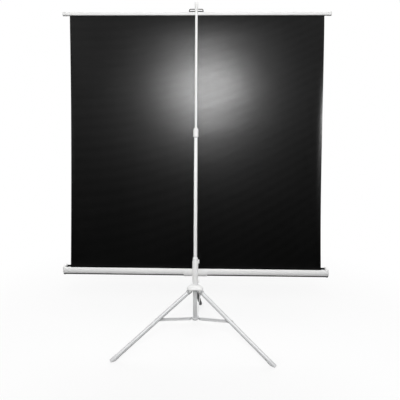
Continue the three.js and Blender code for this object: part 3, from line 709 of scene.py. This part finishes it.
bellyShadeShells = [makeBellyShade(case, bellyShade, 0, bellyShade["thick"], *run) for run in bellyShade["runs"]]
for start, end in ((cap["to"] - 2, cap["from"] + 1), (-cap["from"] - 1, 2 - cap["to"])):  # a thicker black pad under each end cap: painted shade there too
    bellyShadeShells.append(makeBellyShade(case, bellyShade, cap["proud"], bellyShade["padThick"], min(start, end), max(start, end)))
piece("caseBellyShade", bellyShadeShells, "blackMouldingAndShade", "case", [])
saddleLine = []
for k in range(13):
    z = saddle["bottom"] + (saddle["top"] - saddle["bottom"]) * k / 12
    share = (case["waist"] - z) / (case["below"] + 0.3)
    saddleLine.append((case["y"] - (case["depth"] + 0.3) * math.sqrt(1 - share * share), z))
plate = placed(drawn((saddleLine + saddle["under"])[::-1], -saddle["half"], saddle["half"], 0.8), shift(-hungAside), alongX)
piece("caseSaddle", [plate], "whiteMoulding", "case", ["case_saddle"])
print("case made")

# the slat and the wire loop that the screen hangs by
slat = {"half": 922, "y": 51.4, "size": 24, "bottom": 2295.3, "corner": 5, "notch": 2.6, "notchUp": 8}
slatCap = {"from": 922.3, "to": 949.7, "proud": 0.6, "edge": 1.6}
loop = {"half": 48, "top": 2340, "low": 2319.9, "wire": 3, "corner": 8, "plateHalf": 52, "plateDepth": 8,
        "plate": (2319.6, 2326.6)}
h, y, low, high, n = slat["size"] / 2, slat["y"], slat["bottom"], slat["bottom"] + slat["size"], slat["notch"] / 2
section = [(y + n, low), (y + h, low), (y + h, high), (y - h, high), (y - h, low), (y - n, low),
           (y - n, low + slat["notchUp"]), (y + n, low + slat["notchUp"])]
bar = placed(drawn(section, -slat["half"], slat["half"], 0, [0] + [slat["corner"]] * 4 + [0] * 3), alongX)
piece("slatBar", [bar], "whiteCoat", "slat", ["slat_bar"])
p = slatCap["proud"]
capSection = [(y - h - p, low - p), (y + h + p, low - p), (y + h + p, high + p), (y - h - p, high + p)]
for side, move in (("left", mirrorX), ("right", Matrix.Identity(4))):
    body = drawn(capSection, slatCap["from"], slatCap["to"], 0, [slat["corner"]] * 4)
    piece("slatCap" + side.title(), [placed(softened(body, slatCap["edge"], 60), move, alongX)], "whiteMoulding", "slat",
          ["slat_cap_" + side])
plate = box(-loop["plateHalf"], loop["plateHalf"], y - loop["plateDepth"], y + loop["plateDepth"], *loop["plate"], 0.6)
piece("loopPlate", [plate], "loopCoat", "slat", ["loop_plate"])


def makeLoop(c):  # a round wire along an open path
    wire = bpy.data.curves.new("wire", "CURVE")
    wire.dimensions = "3D"
    wire.bevel_depth = c["wire"]
    wire.bevel_resolution = 5
    wire.use_fill_caps = True
    r = c["corner"]
    path = ([(c["half"], c["low"])] + arc(c["half"] - r, c["top"] - r, r, 0, 90, 10)
            + arc(r - c["half"], c["top"] - r, r, 90, 180, 10) + [(-c["half"], c["low"])])
    line = wire.splines.new("POLY")
    line.points.add(len(path) - 1)
    for point, (x, z) in zip(line.points, path):
        point.co = (x, slat["y"], z, 1)
    holder = bpy.data.objects.new("wire", wire)
    mesh = bpy.data.meshes.new_from_object(holder)
    bm = bmesh.new()
    bm.from_mesh(mesh)
    bmesh.ops.remove_doubles(bm, verts=bm.verts, dist=1e-3)
    bmesh.ops.recalc_face_normals(bm, faces=bm.faces)
    bpy.data.objects.remove(holder)
    bpy.data.curves.remove(wire)
    bpy.data.meshes.remove(mesh)
    return bm


piece("hangerLoop", [makeLoop(loop)], "loopCoat", "slat", ["hanger_loop"], 60)
print("slat made")

# the sheet, stretched from the roll up to the slat
cloth = {
    "width": 1800, "bottom": 474, "top": 2302.3, "y": 51.4, "thick": 0.6, "cells": 72,
    "topBend": 3.2, "topReach": 150,  # how far it stands out from the slat, and within what height
    "drawLeft": 8, "drawRight": 10,  # how far the free sides come in, half way up and lower down
    "curlLeft": 4, "curlRight": 9.5, "curlWide": 62,  # how far they curl towards the mast, lower down
    "rollY": 69, "rollFrom": 15.4, "rollTo": 17.0, "rollTurns": 2.5,
}


def makeSheet(c):
    bm = bmesh.new()
    bmesh.ops.create_grid(bm, x_segments=c["cells"], y_segments=c["cells"], size=0.5)
    for v in bm.verts:
        across, up = math.sin(math.pi * v.co.x), v.co.y + 0.5  # the cells are finer at the sides
        lower = 6.75 * up * (1 - up) ** 2  # 0 at both ends and 1 at a third of the height
        side = "Right" if across > 0 else "Left"
        bow = lower if across > 0 else 4 * up * (1 - up)
        half = c["width"] / 2 - bow * c["draw" + side]
        loose = max(0, 1 - half * (1 - abs(across)) / c["curlWide"])
        curl = lower * c["curl" + side] * loose ** 3
        height = c["top"] - c["bottom"]
        bend = c["topBend"] * (1 - max(0, 1 - (1 - up) * height / c["topReach"]) ** 3) * (1 - (1 - up) ** 2)
        v.co = (across * half, c["y"] - curl - bend, c["bottom"] + up * height)
    bm.normal_update()
    bmesh.ops.solidify(bm, geom=bm.faces[:], thickness=c["thick"])
    bmesh.ops.translate(bm, vec=(0, c["y"] + c["thick"] / 2 - max(v.co.y for v in bm.verts), 0), verts=bm.verts)
    bmesh.ops.recalc_face_normals(bm, faces=bm.faces)
    for f in bm.faces:
        f.material_index = 1 if f.normal.y > 0.7 else 0
    return bm


def makeRoll(c):  # the turns that stay on the roller
    steps = int(48 * c["rollTurns"])
    line = []
    for k in range(steps + 1):
        turn = math.pi + 2 * math.pi * c["rollTurns"] * k / steps
        line.append((turn, c["rollTo"] - (c["rollTo"] - c["rollFrom"]) * k / steps))
    line += [(turn, radius - c["thick"] * 0.9) for turn, radius in reversed(line)]
    outline = [(c["rollY"] + r * math.cos(t), c["bottom"] + r * math.sin(t)) for t, r in line]
    return placed(drawn(outline, -c["width"] / 2, c["width"] / 2), alongX)


sheet = piece("screenSheet", [makeSheet(cloth)], "sheetBack sheetFront", "case", ["screen_sheet"], 60)
roll = piece("woundRoll", [makeRoll(cloth)], "sheetBack", "roller", ["wound_sheet"])
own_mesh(sheet)
print("sheet made")

# the solids that stay keep their shape and get a finish
slotFinish = {"white_coat": "whiteCoat", "white_profile": "whiteCoat", "grey_coat": "columnCoat", "black_coat": "blackCoat",
              "white_plastic": "whiteMoulding", "pale_plastic": "paleMoulding", "grey_plastic": "greyMoulding",
              "steel": "plainSteel",
              "dark_steel": "darkWire", "black_cloth": "sheetBack", "black_plastic": "blackMouldingAndShade"}
for name, solid in frame["nodes"].items():
    solid.data.materials.clear()
    solid.data.materials.append(finish[slotFinish[slotOf[name]]])
print("solids finished")

# floor, backdrop and light
stageSettings = {
    "size": 60, "floor": (0.80, 0.80, 0.80, 1), "glow": 0.75, "keep": 0.27,  # what the camera sees of the floor
    "fadeFrom": 0.9, "fadeTo": 2.6,  # where the floor goes over into the white behind it
    "dark": (0.008, 0.008, 0.008, 1),  # what the rest of the light finds there
    "over": 0.15,  # the soft light: above,
    "behind": 2.6, "behindFrom": 0.55, "behindTo": 0.95, "behindWay": (0, 0.97, 0.243),  # low behind,
    "front": 1.3, "frontFrom": 0.88, "frontTo": 0.98, "frontWay": (0, -0.53, 0.848),  # high in front
    "wings": 2.4, "wingsFrom": 0.82, "wingsTo": 0.96, "wingsWay": (0.836, -0.483, 0.259),  # and on both sides
}
lamps = [
    {"name": "keyLamp", "at": (0.04, -2.70, 2.10), "aim": (0.0, 0.0, 1.3), "size": 0.5, "watts": 39},
]


def makeFloor(s):
    bm = bmesh.new()
    bmesh.ops.create_grid(bm, x_segments=1, y_segments=1, size=s["size"])
    mesh = bpy.data.meshes.new("floor")
    bm.to_mesh(mesh)
    bm.free()
    floor = bpy.data.objects.new("floor", mesh)
    scene.collection.objects.link(floor)
    made, p, where = startFinish("floorFinish")
    mesh.materials.append(made)
    path = p.node("ShaderNodeLightPath").socket.node
    depth = Patch(p.tree, p.node("ShaderNodeSeparateXYZ", links={"Vector": where}).socket.node.outputs["Y"])
    mirrored = Patch(p.tree, path.outputs["Is Glossy Ray"]) * spread(p, depth, 0.0, 0.3)
    through = Patch(p.tree, path.outputs["Is Transmission Ray"])
    seen = p.sum("MAXIMUM", p.sum("MAXIMUM", Patch(p.tree, path.outputs["Is Camera Ray"]), through), mirrored)
    mottle = noise(p, where, 1.2, 3.0)
    pale = p.node("ShaderNodeBsdfDiffuse", links={"Color": s["floor"]})
    glow = p.node("ShaderNodeEmission", links={"Color": (1, 1, 1, 1), "Strength": s["glow"]})
    thin = p.node("ShaderNodeMixShader", links={0: s["keep"] + mottle * 0.01, 2: pale})
    near = p.node("ShaderNodeAddShader", links={0: glow, 1: thin})
    away = p.node("ShaderNodeVectorMath", {"operation": "LENGTH"}, {0: where}, out="Value")
    white = p.node("ShaderNodeEmission", links={"Color": (1, 1, 1, 1), "Strength": 1.0})
    lit = p.node("ShaderNodeMixShader", links={0: spread(p, away, s["fadeFrom"], s["fadeTo"]), 1: near, 2: white})
    dark = p.node("ShaderNodeBsdfDiffuse", links={"Color": s["dark"]})
    p.node("ShaderNodeOutputMaterial", links={"Surface": p.node("ShaderNodeMixShader", links={0: seen, 1: dark, 2: lit})})


def makeSky(s):
    world = bpy.data.worlds.new("studio")
    world.use_nodes = True
    world.node_tree.nodes.clear()
    p = Patch(world.node_tree)
    where = p.node("ShaderNodeTexCoord", out="Generated")
    parts = p.node("ShaderNodeSeparateXYZ", links={"Vector": where}).socket.node
    across, back, up = (Patch(p.tree, parts.outputs[axis]) for axis in "XYZ")
    path = p.node("ShaderNodeLightPath").socket.node
    seen = p.sum("MAXIMUM", Patch(p.tree, path.outputs["Is Camera Ray"]), Patch(p.tree, path.outputs["Is Transmission Ray"]))
    mirrored = Patch(p.tree, path.outputs["Is Glossy Ray"]) * spread(p, back, 0.0, 0.3)
    soft = spread(p, up, 0.1, 0.95) * s["over"]
    toWings = abs(across) * s["wingsWay"][0] + back * s["wingsWay"][1] + up * s["wingsWay"][2]
    for side in ("behind", "front"):
        way = p.node("ShaderNodeVectorMath", {"operation": "DOT_PRODUCT"}, {0: where, 1: s[side + "Way"]}, out="Value")
        soft = soft + spread(p, way, s[side + "From"], s[side + "To"]) * s[side]
    soft = soft + spread(p, toWings, s["wingsFrom"], s["wingsTo"]) * s["wings"]
    white = p.sum("MAXIMUM", seen, mirrored)
    level = soft + white * (1 - soft)
    sky = p.node("ShaderNodeBackground", links={"Color": (1, 1, 1, 1), "Strength": level})
    p.node("ShaderNodeOutputWorld", links={"Surface": sky})
    scene.world = world


def makeLamp(c):
    light = bpy.data.lights.new(c["name"], "AREA")
    light.shape = "DISK"
    light.size = c["size"]
    light.energy = c["watts"]
    lamp = bpy.data.objects.new(c["name"], light)
    scene.collection.objects.link(lamp)
    at, aim = Vector(c["at"]), Vector(c["aim"])
    lamp.matrix_world = mastPlace @ Matrix.Translation(at) @ (aim - at).to_track_quat("-Z", "Y").to_matrix().to_4x4()


makeFloor(stageSettings)
makeSky(stageSettings)
for lamp in lamps:
    makeLamp(lamp)
scene.view_settings.view_transform = "Standard"
print("stage lit")
